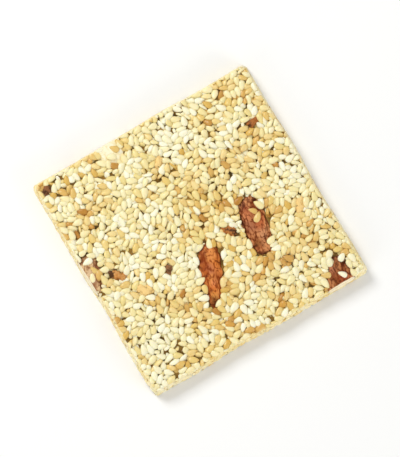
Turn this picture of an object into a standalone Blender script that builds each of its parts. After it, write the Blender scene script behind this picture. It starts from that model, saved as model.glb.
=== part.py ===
# Sesame almond slice: a thin square of sesame seeds set in boiled sugar, with pieces of almond in it.
# Metres, +Z up. The slice lies flat, and the origin is the centre of its underside.
# +X and +Y run along the cut sides, and the rolled top faces +Z.

import math
import random
from types import SimpleNamespace

import bmesh
import bpy
import numpy
from mathutils import Euler, Matrix, Vector

MM = 0.001

# The slice over its seeds. The sides were cut warm, so they lean in towards the top.
LENGTH = 76 * MM
WIDTH = 75 * MM
THICKNESS = 5.5 * MM
SIDE_LEAN = 1.2 * MM
CORNER_RADIUS = 1.6 * MM
EDGE_ROUND = 0.5 * MM
SIDE_WAVE = 0.35 * MM
# The cut's waver as sines: share of the height, length over a radian, and how far out of step.
WAVES = ((0.6, 7.2 * MM, 1.2), (0.4, 4.4 * MM, 2.8))
OUTLINE_STEPS = 14

# How far the seeds stand out of the core of sugar and seeds, above and at the sides.
# The underside was rolled flat, so it is one level face.
PROUD_TOP = 0.75 * MM
PROUD_SIDE = 0.35 * MM

# One hulled sesame seed: a flat drop with one narrow end.
SEED_LENGTH = 3.4 * MM
SEED_WIDTH = 2.25 * MM
SEED_TAPER = 0.25
# The two points of a seed's crown: share of its length from the middle, and share of its height.
SEED_CROWN = ((-0.19, 1.0), (0.12, 0.94))
# Three circles that cover a seed: share of its length from the middle, and share of its width.
SEED_CIRCLES = ((-0.22, 0.5), (0.06, 0.46), (0.34, 0.3))
SEED_CORNERS = 6
SEED_SHOULDER_SCALE = 0.78
SEED_SHOULDER = 0.42 * MM
SEED_SINK = 0.15 * MM
SEED_SIZES = (0.88, 1.1)
SEED_TILT = math.radians(3)
SEED_LEVELS = 0.12 * MM

# A seed cut through at a side shows its thin way up and down.
CUT_SEED_LENGTH = 2.9 * MM
CUT_SEED_WIDTH = 1.5 * MM
CUT_SEED_FACE_SCALE = 0.84
CUT_SEED_CORNERS = 5
CUT_SEED_TURN = math.radians(16)
CUT_SEED_MARGIN = 0.35 * MM

TOP_SEEDS = 338
SEEDS_ON_EACH_SIDE = 28
SEED_GAP = 0.12 * MM
PLACE_TRIES = 20000
RANDOM_START = 11

# Almond pieces keep this clear of the core, so that each is a solid of its own.
POCKET_GAP = 0.3 * MM
ALMOND_SIDES = 14
ALMOND_RINGS = 8
ALMOND_SQUARENESS = 2.8
ALMOND_RIDGE = 0.035
SMOOTH_BELOW = math.radians(38)
FLAT_WITHIN = math.radians(0.5)
TINY = 0.001 * MM


def almond(x, y, length, width, height, heading, taper, blunt, cut_by=None, split=False):
    """An almond piece in millimetres. heading points to its narrow end.

    taper moves the widest place to the other end, blunt squares both ends as it falls,
    cut_by names the side of the slice that cuts through it, and split says that its pale
    inside faces up.
    """
    return SimpleNamespace(
        x=x * MM,
        y=y * MM,
        length=length * MM,
        width=width * MM,
        height=height * MM,
        heading=math.radians(heading),
        taper=taper,
        blunt=blunt,
        cut_by=cut_by,
        split=split,
    )


ALMONDS = {
    "almond_middle": almond(14.9, -8.2, 19.5, 8.8, 4.2, -102, 1.1, 0.5),
    "almond_front": almond(-4.6, -15.2, 22.4, 8.2, 4.2, -112, 1.45, 0.54),
    "almond_corner": almond(28.8, -34.6, 15.5, 10.0, 4.3, 74, 1.3, 0.6, cut_by="front"),
    "almond_left": almond(-36.4, 4.6, 14.0, 9.4, 4.2, 64, 1.2, 0.6, cut_by="left"),
    "almond_back": almond(-12.2, 36.2, 13.5, 10.5, 4.2, -84, 1.2, 0.55, cut_by="back", split=True),
}

# Crumbs of almond that show among the seeds, in millimetres: x, y, length, width, heading.
CRUMBS = (
    (-28.9, 0.2, 5.2, 3.0, 24),
    (7.2, -5.2, 4.6, 2.8, -48),
    (30.2, 19.8, 3.6, 2.6, 15),
    (-14.6, -6.2, 3.0, 2.4, 60),
    (-24.0, -8.0, 5.6, 3.6, -36),
    (29.6, -9.6, 4.6, 2.6, 52),
    (-0.8, 23.6, 4.6, 2.5, 50),
    (-34.4, 33.6, 3.8, 2.6, 20),
)

SIDE_TURN = {"right": 0, "back": 90, "left": 180, "front": 270}


def linear(hex_colour):
    """The linear red, green, blue and alpha of an sRGB hex colour."""
    parts = [int(hex_colour[i : i + 2], 16) / 255 for i in (1, 3, 5)]
    return [((part + 0.055) / 1.055) ** 2.4 for part in parts] + [1.0]


def food_material(name, hex_colour, roughness):
    material = bpy.data.materials.new(name)
    material.use_nodes = True
    shader = material.node_tree.nodes["Principled BSDF"]
    shader.inputs["Base Color"].default_value = linear(hex_colour)
    shader.inputs["Roughness"].default_value = roughness
    shader.inputs["Metallic"].default_value = 0.0
    return material


def mesh_from(bm, name):
    """Turns the faces outwards and puts them into a new mesh."""
    bmesh.ops.recalc_face_normals(bm, faces=bm.faces)
    mesh = bpy.data.meshes.new(name)
    bm.to_mesh(mesh)
    bm.free()
    return mesh


def add_object(name, mesh, material, collection):
    mesh.materials.append(material)
    made = bpy.data.objects.new(name, mesh)
    collection.objects.link(made)
    return made


def helper_collection(name):
    collection = bpy.data.collections.new(name)
    bpy.context.scene.collection.children.link(collection)
    return collection


def side_point(side, out, along, height):
    """A point given by its distance out to a side and its run along it, in the slice's axes."""
    return Matrix.Rotation(math.radians(SIDE_TURN[side]), 3, "Z") @ Vector((out, along, height))


def half_span(side):
    """From the centre out to a side at the underside."""
    return LENGTH / 2 if side in ("left", "right") else WIDTH / 2


def half_run(side):
    """Half the length of a side at the underside."""
    return WIDTH / 2 if side in ("left", "right") else LENGTH / 2


def side_wave(side, along):
    """The slow waver of a cut: sines out of step, fading out towards the corners."""
    start = math.radians(SIDE_TURN[side])
    fade = math.cos(math.pi / 2 * min(1.0, abs(along) / half_run(side)))
    wave = sum(share * math.sin(along / run + step * start) for share, run, step in WAVES)
    return SIDE_WAVE * fade * wave


def core_outline(inset, height):
    """The core's outline at a height: four wavering sides joined by round corners, anticlockwise."""
    points = []
    for side, turn in SIDE_TURN.items():
        out = half_span(side) - inset
        run = half_run(side) - inset - CORNER_RADIUS
        for k in range(OUTLINE_STEPS + 1):
            along = run * (2 * k / OUTLINE_STEPS - 1)
            points.append(side_point(side, out + side_wave(side, along), along, height))
        middle = side_point(side, out - CORNER_RADIUS, run, height)
        for share in (1 / 3, 2 / 3):
            angle = math.radians(turn + 90 * share)
            points.append(middle + CORNER_RADIUS * Vector((math.cos(angle), math.sin(angle), 0)))
    return points


def core_mesh():
    """Three stacked outlines: the underside, the lean up to the rounded edge, and the flat top."""
    top = THICKNESS - PROUD_TOP
    shoulder = top - EDGE_ROUND
    lean = SIDE_LEAN * shoulder / THICKNESS
    levels = ((0.0, 0.0), (lean, shoulder), (lean + 0.8 * EDGE_ROUND, top))
    bm = bmesh.new()
    rings = []
    for inset, height in levels:
        rings.append([bm.verts.new(p) for p in core_outline(PROUD_SIDE + inset, height)])
    for low, high in zip(rings, rings[1:]):
        for k in range(len(low)):
            after = (k + 1) % len(low)
            bm.faces.new((low[k], low[after], high[after], high[k]))
    bm.faces.new(rings[0])
    bm.faces.new(rings[-1])
    return mesh_from(bm, "sesame_slab")


def drop_outline(corners, length, width, height):
    """Points round a drop in the XY plane, from its narrow end at +X."""
    points = []
    for k in range(corners):
        turn = 2 * math.pi * k / corners
        narrowing = 1.0 - SEED_TAPER * math.cos(turn)
        points.append(Vector((length / 2 * math.cos(turn), width / 2 * math.sin(turn) * narrowing, height)))
    return points


def hull_mesh(name, points):
    """The convex solid round the points, with each level side as one face."""
    bm = bmesh.new()
    for point in points:
        bm.verts.new(point)
    bmesh.ops.convex_hull(bm, input=bm.verts)
    bmesh.ops.dissolve_limit(bm, angle_limit=FLAT_WITHIN, verts=bm.verts, edges=bm.edges)
    return mesh_from(bm, name)


def lying_seed_mesh():
    """A seed whose widest outline is just under the surface at z = 0, with a ridge of two points on top."""
    points = drop_outline(SEED_CORNERS, SEED_LENGTH, SEED_WIDTH, -SEED_SINK)
    scale = SEED_SHOULDER_SCALE
    points += drop_outline(SEED_CORNERS, scale * SEED_LENGTH, scale * SEED_WIDTH, SEED_SHOULDER)
    points += [Vector((along * SEED_LENGTH, 0.0, up * PROUD_TOP)) for along, up in SEED_CROWN]
    return hull_mesh("lying_seed", points)


def cut_seed_mesh():
    """A seed cut through: its outer face is level at z = 0, and it widens into the core."""
    scale = CUT_SEED_FACE_SCALE
    points = drop_outline(CUT_SEED_CORNERS, scale * CUT_SEED_LENGTH, scale * CUT_SEED_WIDTH, 0.0)
    points += drop_outline(CUT_SEED_CORNERS, CUT_SEED_LENGTH, CUT_SEED_WIDTH, -PROUD_SIDE - SEED_SINK)
    return hull_mesh("cut_seed", points)


def almond_swell(piece, share):
    """How full an almond is, from 0 at either end to 1, at a share of its turn from the narrow end."""
    return max(math.sin(math.pi * share**piece.taper), 0.0) ** piece.blunt


def almond_middle_height(piece):
    """An almond's own middle, with its top level with the seeds."""
    return THICKNESS - piece.height / 2


def almond_mesh(name, piece, extra):
    """Rings across an almond, each a squarish round with shallow ridges, closed at both ends.

    extra makes it that much larger on every side, for its pocket.
    """
    half = Vector((piece.length, piece.width, piece.height)) / 2 + Vector((extra, extra, extra))
    power = 2 / ALMOND_SQUARENESS
    bm = bmesh.new()
    rings = []
    for r in range(1, ALMOND_RINGS):
        share = r / ALMOND_RINGS
        swell = almond_swell(piece, share)
        ring = []
        for k in range(ALMOND_SIDES):
            turn = 2 * math.pi * k / ALMOND_SIDES
            across, up = math.cos(turn), math.sin(turn)
            ridge = 1.0 - ALMOND_RIDGE * swell * (k % 2)
            y = math.copysign(abs(across) ** power, across) * ridge * swell * half.y
            z = math.copysign(abs(up) ** power, up) * ridge * swell * half.z
            ring.append(bm.verts.new((half.x * math.cos(math.pi * share), y, z)))
        rings.append(ring)
    narrow_end = bm.verts.new((half.x, 0, 0))
    wide_end = bm.verts.new((-half.x, 0, 0))
    for k in range(ALMOND_SIDES):
        after = (k + 1) % ALMOND_SIDES
        bm.faces.new((narrow_end, rings[0][k], rings[0][after]))
        bm.faces.new((wide_end, rings[-1][after], rings[-1][k]))
        for near, far in zip(rings, rings[1:]):
            bm.faces.new((near[k], far[k], far[after], near[after]))
    mesh = mesh_from(bm, name)
    place = Matrix.Translation((piece.x, piece.y, almond_middle_height(piece)))
    mesh.transform(place @ Matrix.Rotation(piece.heading, 4, "Z"))
    return mesh


def cut_at_side(mesh, side):
    """Cuts an almond off along the slice's leaning side, and closes the cut."""
    lean = math.atan2(SIDE_LEAN, THICKNESS)
    outward = side_point(side, math.cos(lean), 0.0, math.sin(lean))
    on_plane = side_point(side, half_span(side) - PROUD_SIDE / 2, 0.0, 0.0)
    bm = bmesh.new()
    bm.from_mesh(mesh)
    everything = bm.verts[:] + bm.edges[:] + bm.faces[:]
    cut = bmesh.ops.bisect_plane(
        bm, geom=everything, plane_co=on_plane, plane_no=outward, clear_outer=True
    )
    rim = [part for part in cut["geom_cut"] if isinstance(part, bmesh.types.BMEdge)]
    bmesh.ops.edgenet_fill(bm, edges=rim)
    bmesh.ops.recalc_face_normals(bm, faces=bm.faces)
    bm.to_mesh(mesh)
    bm.free()


def touches_almond(points, margin):
    """Whether any of the points lies inside an almond that is larger by the margin."""
    for piece in ALMONDS.values():
        turn = Matrix.Rotation(-piece.heading, 3, "Z")
        middle = Vector((piece.x, piece.y, almond_middle_height(piece)))
        half = Vector((piece.length, piece.width, piece.height)) / 2 + Vector((margin, margin, margin))
        for point in points:
            local = turn @ (point - middle)
            if abs(local.x) >= half.x:
                continue
            swell = almond_swell(piece, math.acos(local.x / half.x) / math.pi)
            across = abs(local.y) / max(half.y * swell, TINY)
            up = abs(local.z) / max(half.z * swell, TINY)
            if across**ALMOND_SQUARENESS + up**ALMOND_SQUARENESS < 1.0:
                return True
    return False


def seed_circles(x, y, heading, length, width):
    """Three circles along a drop, as rows of x, y and radius, to keep seeds apart."""
    shares = numpy.array(SEED_CIRCLES)
    along = shares[:, 0] * length
    radius = shares[:, 1] * width
    return numpy.stack((x + along * math.cos(heading), y + along * math.sin(heading), radius), axis=1)


def spread_seeds(draw, count, region, seed_size, turn_spread, circles):
    """Random places for seeds that stay inside the region and clear of each other.

    region is half the run, the lowest and the highest, turn_spread is how far a seed turns from
    the run to either side, and circles are those of what already lies there.
    """
    reach, low, high = region
    length, width = seed_size
    places = []
    for _ in range(PLACE_TRIES):
        if len(places) == count:
            break
        size = draw.uniform(*SEED_SIZES)
        heading = math.pi * draw.randrange(2) + draw.uniform(-turn_spread, turn_spread)
        x = draw.uniform(-reach, reach)
        y = draw.uniform(low, high)
        new = seed_circles(x, y, heading, length * size, width * size)
        radius = new[:, 2]
        outside = (numpy.abs(new[:, 0]) + radius > reach) | (new[:, 1] - radius < low)
        outside |= new[:, 1] + radius > high
        apart = numpy.hypot(circles[:, None, 0] - new[:, 0], circles[:, None, 1] - new[:, 1])
        crowded = apart < circles[:, None, 2] + radius + SEED_GAP
        if not outside.any() and not crowded.any():
            circles = numpy.concatenate((circles, new))
            places.append((x, y, heading, size))
    return places


def add_seed(mesh, place, seeds):
    """Adds a seed at its place, unless it would reach into an almond."""
    points = [place @ vertex.co for vertex in mesh.vertices]
    if touches_almond(points, POCKET_GAP + SEED_GAP / 2):
        return
    seed = bpy.data.objects.new("seed", mesh)
    seed.matrix_world = place
    seeds.objects.link(seed)


def add_crumbs(mesh, seeds):
    """Lays the crumbs like wide seeds, and returns their circles."""
    rows = [numpy.empty((0, 3))]
    for x, y, length, width, heading in CRUMBS:
        turn = math.radians(heading)
        stretch = Vector((length * MM / SEED_LENGTH, width * MM / SEED_WIDTH, 1.0))
        position = Vector((x * MM, y * MM, THICKNESS - PROUD_TOP))
        add_seed(mesh, Matrix.LocRotScale(position, Euler((0, 0, turn)), stretch), seeds)
        rows.append(seed_circles(x * MM, y * MM, turn, length * MM, width * MM))
    return numpy.concatenate(rows)


def add_top_seeds(draw, mesh, seeds):
    """Seeds lying on the rolled top in every direction, at slightly different levels."""
    taken = add_crumbs(mesh, seeds)
    rim = SIDE_LEAN + PROUD_SIDE + EDGE_ROUND
    region = (LENGTH / 2 - rim, rim - WIDTH / 2, WIDTH / 2 - rim)
    places = spread_seeds(draw, TOP_SEEDS, region, (SEED_LENGTH, SEED_WIDTH), math.pi / 2, taken)
    for x, y, heading, size in places:
        level = THICKNESS - PROUD_TOP - draw.uniform(0, SEED_LEVELS)
        tilt = Euler((draw.uniform(-SEED_TILT, SEED_TILT), draw.uniform(-SEED_TILT, SEED_TILT), heading))
        place = Matrix.LocRotScale(Vector((x, y, level)), tilt, Vector((size, size, 1.0)))
        add_seed(mesh, place, seeds)


def add_side_seeds(draw, mesh, seeds):
    """Seeds cut through at each side, lying nearly level, with their cut faces in the side."""
    lean = math.atan2(SIDE_LEAN, THICKNESS)
    highest = THICKNESS - PROUD_TOP - CUT_SEED_MARGIN
    cut_size = (CUT_SEED_LENGTH, CUT_SEED_WIDTH)
    nothing = numpy.empty((0, 3))
    for side, turn in SIDE_TURN.items():
        region = (half_run(side) - SIDE_LEAN - CORNER_RADIUS, CUT_SEED_MARGIN, highest)
        # Local +Z faces out of the side, and local +X runs along it.
        facing = Matrix.Rotation(math.radians(turn), 4, "Z") @ Matrix.Rotation(math.pi / 2 - lean, 4, "Y")
        places = spread_seeds(draw, SEEDS_ON_EACH_SIDE, region, cut_size, CUT_SEED_TURN, nothing)
        for along, height, heading, size in places:
            out = half_span(side) - SIDE_LEAN * height / THICKNESS + side_wave(side, along)
            turned = facing @ Matrix.Rotation(math.pi / 2 + heading, 4, "Z")
            resized = turned @ Matrix.Diagonal((size, size, 1, 1))
            add_seed(mesh, Matrix.Translation(side_point(side, out, along, height)) @ resized, seeds)


def join_or_cut(target, collection, operation):
    """Runs one Boolean with a whole collection, applies it, and removes the collection's objects."""
    modifier = target.modifiers.new(operation.lower(), "BOOLEAN")
    modifier.operation = operation
    modifier.operand_type = "COLLECTION"
    modifier.collection = collection
    modifier.solver = "EXACT"
    depsgraph = bpy.context.evaluated_depsgraph_get()
    applied = bpy.data.meshes.new_from_object(target.evaluated_get(depsgraph))
    target.modifiers.clear()
    target.data = applied
    for helper in list(collection.objects):
        bpy.data.objects.remove(helper)
    bpy.data.collections.remove(collection)


def build_slab(material):
    """The core with the seeds fused to it, and a pocket for each almond."""
    draw = random.Random(RANDOM_START)
    seeds = helper_collection("seeds")
    add_top_seeds(draw, lying_seed_mesh(), seeds)
    add_side_seeds(draw, cut_seed_mesh(), seeds)
    slab = add_object("sesame_slab", core_mesh(), material, bpy.context.scene.collection)
    join_or_cut(slab, seeds, "UNION")
    pockets = helper_collection("pockets")
    for name, piece in ALMONDS.items():
        pocket = add_object(name + "_pocket", almond_mesh("pocket", piece, POCKET_GAP), material, pockets)
        pocket.hide_render = True
        pocket.display_type = "WIRE"
    join_or_cut(slab, pockets, "DIFFERENCE")


def build_almonds():
    """Each almond shows its red-brown skin, but for the one that lies with its split face up."""
    skin = food_material("almond_skin", "#9C4A2B", 0.5)
    flesh = food_material("almond_flesh", "#F1E4C4", 0.6)
    for name, piece in ALMONDS.items():
        mesh = almond_mesh(name, piece, 0.0)
        if piece.cut_by:
            cut_at_side(mesh, piece.cut_by)
        mesh.shade_smooth()
        mesh.set_sharp_from_angle(angle=SMOOTH_BELOW)
        material = flesh if piece.split else skin
        add_object(name, mesh, material, bpy.context.scene.collection)


def main():
    for old in list(bpy.data.objects):
        bpy.data.objects.remove(old)
    build_slab(food_material("sesame_and_sugar", "#E8D39C", 0.42))
    build_almonds()


main()
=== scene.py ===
# Sesame almond slice, dressed: each seed, the boiled sugar between the seeds, and the almonds.
# Metres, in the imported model's frame: the underside at z = 0, +Z up, the cut sides along X and Y.

import math
from collections import namedtuple

import bpy
import numpy as np
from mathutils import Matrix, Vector

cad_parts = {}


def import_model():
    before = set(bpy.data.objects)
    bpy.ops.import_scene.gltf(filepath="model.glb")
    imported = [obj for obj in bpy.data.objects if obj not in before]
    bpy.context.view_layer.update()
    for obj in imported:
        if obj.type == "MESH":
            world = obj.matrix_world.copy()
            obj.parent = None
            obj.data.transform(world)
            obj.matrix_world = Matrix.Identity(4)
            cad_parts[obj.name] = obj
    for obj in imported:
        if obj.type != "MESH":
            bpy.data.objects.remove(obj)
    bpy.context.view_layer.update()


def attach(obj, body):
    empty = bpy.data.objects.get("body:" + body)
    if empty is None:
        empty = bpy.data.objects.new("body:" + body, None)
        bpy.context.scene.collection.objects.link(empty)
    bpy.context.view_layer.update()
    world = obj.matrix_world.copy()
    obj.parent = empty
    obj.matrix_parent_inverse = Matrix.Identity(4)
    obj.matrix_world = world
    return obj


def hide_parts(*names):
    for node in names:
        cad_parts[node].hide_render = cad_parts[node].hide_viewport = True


MM = 0.001
# The least distances that anything is divided by.
SHORTEST = 0.01 * MM
ALMOST_ZERO = 1e-9
RANDOM_START = 7

# The slice, as the solids have it: the sides lean in towards the top, and the cuts waver.
LENGTH = 76 * MM
WIDTH = 75 * MM
THICKNESS = 5.5 * MM
SIDE_LEAN = 1.2 * MM
CORNER_RADIUS = 1.6 * MM
SIDE_WAVE = 0.35 * MM
# The sines in a cut's waver: share of its height, length over 2 pi, shift from side to side.
WAVES = ((0.6, 7.2 * MM, 1.2), (0.4, 4.4 * MM, 2.8))

# One hulled sesame seed. The lower its two exponents, the fuller its outline and its faces.
SEED_LENGTH = 3.3 * MM
SEED_WIDTH = 1.9 * MM
SEED_THICKNESS = 1.0 * MM
SEED_TAPER = 0.4
SEED_HALF_WIDTH = 0.52
SEED_FULLNESS = 0.95
FACE_FULLNESS = 0.75
TIP_THINNING = 0.35
SEED_RINGS = 6
SEED_AROUND = 8
SEED_COUNT = 7900
SEED_SIZE_SPREAD = 0.08
THICKNESS_SPREAD = (0.9, 1.12)
# How roasted a seed is comes by this share from the seed itself, and otherwise from its patch.
OWN_ROAST = 0.64
ROAST_PATCH = 13 * MM
TONE_SPREAD = 0.24
# Each kind of seed: from and up to which roast, the colours of its range, and its tip.
SEED_KINDS = {
    "seeds_cream": (-9.0, 0.34, ("#F6ECC2", "#FDF7DA", "#F3E7B2"), "#F0E0AC"),
    "seeds_straw": (0.34, 0.62, ("#F2E2A4", "#F9EDBD", "#EDD890"), "#E4C87C"),
    "seeds_golden": (0.62, 0.83, ("#E8CA78", "#F2DA98", "#DCB45A"), "#C89A46"),
    "seeds_toasted": (0.83, 9.0, ("#D4A048", "#E0B868", "#BC8432"), "#946024"),
}
# Where those colours lie in the range.
COAT_PLACES = (0.1, 0.5, 0.9)
# Where the seeds are paler or more roasted than elsewhere: x, y and reach in millimetres, change.
ROASTED_PLACES = (
    (-27, -27, 10, -0.4),
    (4, -29, 6, -0.25),
    (33, 3, 8, -0.15),
    (9, 32, 9, -0.35),
    (-10, 21, 6, -0.25),
    (-20, 11, 7, -0.2),
    (-9, 0, 6, -0.35),
    (-29, -10, 5, -0.2),
    (-19, -19, 5, 0.25),
    (11, -21, 5, 0.35),
    (8, -31, 3, 0.3),
    (1, 1, 6, 0.35),
    (20, -10, 5, 0.2),
    (10, 12, 7, 0.15),
    (31, 9, 5, 0.2),
    (-20, -32, 5, 0.3),
    (-2, -22, 5, 0.2),
)

# The packing works in a space stretched upwards, where a seed is as thick as it is wide.
STRETCH = SEED_WIDTH / SEED_THICKNESS
PACKING_STEPS = 90
PAIR_REFRESH = 6
PAIR_REACH = 1.25 * SEED_WIDTH
# The share of an overlap by which each of two seeds gives way in a step.
GIVE_WAY = 0.4
# How steeply the seeds lie at the start, and the share of their slope that they keep in a step.
START_SLOPE = 0.5
SLOPE_KEPT = 0.965
# The spheres that stand for a seed while it is packed: share of its length from the middle, and
# share of its width.
SEED_SPHERES = ((-0.23, 0.47), (0.05, 0.45), (0.33, 0.3))
# Seeds are packed this far past the cuts, which then go through them.
PAST_CUT = 1.1 * MM
# The crowns reach up to here, and some seeds lie lower. A bias over 1 keeps most of them high.
HIGHEST_CROWN = THICKNESS + 0.1 * MM
CROWN_SPREAD = 0.42 * MM
CROWN_BIAS = 1.5
# How far seeds are rolled round their length, in radians, and the share that is rolled further.
ROLL = 0.25
LARGE_ROLL = 0.9
LARGE_ROLL_SHARE = 0.1
# A seed over an almond, this near to the top, keeps only this share of its slope and roll.
NEAR_TOP = 1.2 * SEED_THICKNESS
FLATTENED = 0.2

# How sharply a cut face takes its inner colour at its rim.
CUT_SHARPNESS = 14
# A cut seed is this far on from its coat's colour to the cut's.
CUT_PALENESS = 0.5
# The cut face of an almond stands this far out, so that no seed shows through it.
CUT_ALMOND_PROUD = 0.05 * MM
# A seed with less than this inside the cut is left out.
LEAST_INSIDE = 0.15 * MM

# Pits between the seeds at random, and beside each almond: their number, where along it, and
# how far past its rim, as a share of a pit's width.
PIT_COUNT = 210
RIM_PITS = 9
RIM_PIT_SPAN = (0.08, 0.92)
RIM_PIT_OUT = 0.3
# Larger pits: x, y and width in millimetres.
LARGE_PITS = (
    (8.5, -7.7, 1.9),
    (-30.6, 1.9, 1.8),
    (-31.8, 0.7, 1.4),
    (-33.2, 6.9, 1.7),
    (-32.4, 2.6, 1.5),
    (31.8, -28.1, 1.6),
    (28.4, -29.2, 1.5),
    (18.4, -1.4, 1.5),
    (19.9, -8.4, 1.5),
    (-3.2, -6.6, 1.4),
)
PIT_WIDTH = 1.4 * MM
PIT_WIDTH_SPREAD = (0.5, 1.1)
PIT_DEPTH = 1.5 * MM

# Where the boiled sugar ends, below the seeds' crowns and behind the cuts, and its own waves.
SUGAR_BELOW_TOP = 1.1 * MM
SUGAR_BEHIND_CUT = 0.32 * MM
SUGAR_ABOVE_FLOOR = 0.5 * MM
SUGAR_WAVE = 0.25 * MM
SUGAR_WAVE_RUN = 6 * MM
SUGAR_AROUND = 400
SUGAR_STEPS = 64
SUGAR_SIDE_STEPS = 5
# The underside has a ring for every so many of the top's.
UNDERSIDE_STRIDE = 4
# How far waves of random values differ in length, on flat places and round bodies.
PATCH_RUNS = (0.7, 1.5)
CRUMPLE_RUNS = (0.7, 1.4)

# The almonds as the solids have them, in millimetres and degrees: where, how long, wide and high,
# the heading of the narrow end, how far the widest place lies back, how blunt the ends are.
Almond = namedtuple("Almond", "x y length width height heading taper blunt")
ALMONDS = {
    "almond_middle": Almond(14.9, -8.2, 19.5, 8.8, 4.2, -102, 1.1, 0.5),
    "almond_front": Almond(-4.6, -15.2, 22.4, 8.2, 4.2, -112, 1.45, 0.54),
    "almond_corner": Almond(28.8, -34.6, 15.5, 10.0, 4.3, 74, 1.3, 0.6),
    "almond_left": Almond(-36.4, 4.6, 14.0, 9.4, 4.2, 64, 1.2, 0.6),
    "almond_back": Almond(-12.2, 36.2, 13.5, 10.5, 4.2, -84, 1.2, 0.55),
}
# This one is split open.
SPLIT_ALMOND = "almond_back"
ALMOND_SQUARENESS = 2.8
ALMOND_ROWS = 96
ALMOND_AROUND = 128
# The relief of a skin: how long its dents and its creases are across the nut, and what share of the
# relief each makes up. Along the nut they are drawn out.
DENTS = 3.4 * MM
CREASES = 1.9 * MM
FINE_CREASES = 0.95 * MM
RELIEF_SHARES = (0.45, 0.35, 0.2)
DRAWN_OUT = (0.4, 1, 1)
# How fast the relief fades in from the ends, and what the end points themselves have.
END_FADE = 5
END_RELIEF = 0.4
END_CREASE = 0.3
# The height of relief at which an almond's skin lies on its solid's surface.
MEAN_RELIEF = 0.78
# How deep the relief is, as a share of the radius, on skin and on a split nut's flesh.
SKIN_DEPTH = 0.26
FLESH_DEPTH = 0.1
# How the seeds lap each almond: the share of its width that they leave bare, from and up to which
# share of its length, and the share of the seeds that lie over it all the same.
BARED = {
    "almond_middle": (1.1, 0.02, 0.94, 0.03),
    "almond_front": (1.14, 0.1, 0.92, 0.03),
    "almond_corner": (1.0, 0.1, 1.0, 0.08),
    "almond_left": (0.98, 0.05, 1.0, 0.2),
    "almond_back": (0.8, 0.05, 1.0, 0.16),
}
# Each seed keeps its own share of that width, so that the rim is ragged, and its own share of lap.
RAGGED = (0.8, 1.0)
RIM_LAP = (0.2, 0.75)
# Past the bared ends the seeds are held off by this share of their radius.
END_SLACK = 0.3
# The seeds leave only a neck of the narrow end: its width, and up to which share of the length. It
# widens over the share that follows.
NECKS = {"almond_front": (5.6 * MM, 0.52)}
NECK_WIDENING = 0.07
# Seeds stuck on the almonds: x, y and heading.
STUCK_SEEDS = (
    (16.9, -14.2, 20),
    (19.0, -3.0, 120),
    (19.4, -10.4, 75),
    (28.6, -28.9, 60),
    (25.6, -32.0, 150),
)
# The colours of each almond's skin: its rim, painted shade on its lower sides where the seeds meet it; its
# grooves, painted shade in the creases; between them; and its ridges, painted as lit.
SKINS = {
    "almond_middle": ("#411402", "#662807", "#9F562C", "#D48E5A"),
    "almond_front": ("#4E1A02", "#833407", "#B45C25", "#E08E4A"),
    "almond_corner": ("#3B1404", "#5A2407", "#894821", "#BE7C4C"),
    "almond_left": ("#643415", "#8F5C38", "#BA8A5F", "#E2C08F"),
    "almond_back": ("#EEDAA2", "#F2E2AE", "#FBF2CC", "#FEF8DC"),
}
# Spots on each skin: the place along and across the nut and the reach in millimetres, the colour. Some are
# the skin's own blotches, and some are painted highlights and painted shade.
SPOTS = {
    "almond_middle": (
        (-5.9, -1.3, 1.0, "#852A04"),
        (-4.0, -1.7, 1.2, "#D27C4D"),
        (-4.2, 0.6, 1.0, "#722809"),
        (-2.0, 2.2, 1.3, "#CA6C3F"),
        (-0.3, -1.7, 1.7, "#A16243"),
        (0.1, 1.2, 1.2, "#BC6437"),
        (3.1, 1.4, 1.3, "#DA9C6D"),
        (5.2, -1.2, 1.2, "#8D562A"),
    ),
    "almond_front": (
        (-7.1, -1.9, 1.2, "#762C00"),
        (-4.3, -1.8, 1.2, "#9B461C"),
        (-4.4, 2.2, 1.3, "#E28437"),
        (-1.9, 2.0, 1.2, "#DC8241"),
        (-2.6, 0.0, 1.2, "#C2744C"),
        (-0.2, 1.5, 1.0, "#873204"),
        (1.6, 0.2, 0.9, "#F59C63"),
        (3.3, 0.0, 1.1, "#C86017"),
        (5.6, -0.2, 1.0, "#EDA453"),
        (7.6, 0.0, 1.4, "#4B1802"),
    ),
    "almond_corner": (
        (3.0, 1.6, 1.0, "#C47E5A"),
        (1.1, 2.1, 1.0, "#742C0C"),
        (-0.4, -0.9, 1.6, "#872604"),
        (-0.4, -2.6, 1.0, "#BC7045"),
    ),
    "almond_left": (
        (1.6, -2.4, 1.2, "#854828"),
        (-0.4, -0.5, 1.6, "#DEBC92"),
        (-2.6, -1.2, 1.2, "#8F5838"),
    ),
    "almond_back": ((0.0, 0.0, 4.0, "#FCF3D0"),),
}

# Crumbs of almond among the seeds, where the solids have them: x, y, length, width, heading, how
# golden each is, from violet brown at 0 to golden peach at 1, and how dark its tail is painted, a
# painted shadow at that end.
CRUMBS = (
    (-28.9, 0.2, 5.0, 3.4, -47, 0.6, 0.8),
    (7.2, -5.2, 4.6, 2.8, 132, 0.48, 0.8),
    (30.2, 19.8, 3.6, 2.6, 15, 0.4, 0.4),
    (-14.6, -6.2, 3.0, 2.4, 60, 0.1, 0.0),
    (-24.0, -8.0, 5.6, 3.6, -36, 0.95, 0.0),
    (29.6, -9.6, 4.6, 2.6, 52, 0.85, 0.2),
    (-0.8, 23.6, 4.6, 2.5, 50, 0.9, 0.1),
    (-34.4, 33.6, 3.8, 2.6, 20, 0.14, 0.1),
)
CRUMB_HEIGHT = 1.9 * SEED_THICKNESS
CRUMB_FULLNESS = 0.7
CRUMB_RINGS = 26
CRUMB_AROUND = 36
CRUMB_DENTS = 2.6 * MM
CRUMB_CREASES = 1.1 * MM
# The shares of dents and creases in the relief, and its depth as a share of the radius.
CRUMB_SHARES = (0.6, 0.4)
CRUMB_DEPTH = 0.62
# The relief takes some of a crumb's size, and this gives it back.
CRUMB_GROWTH = 1.42
# How fast the painted shadow at a crumb's tail fades in from its middle.
TAIL_SHADOW_FADE = 2.2

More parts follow.
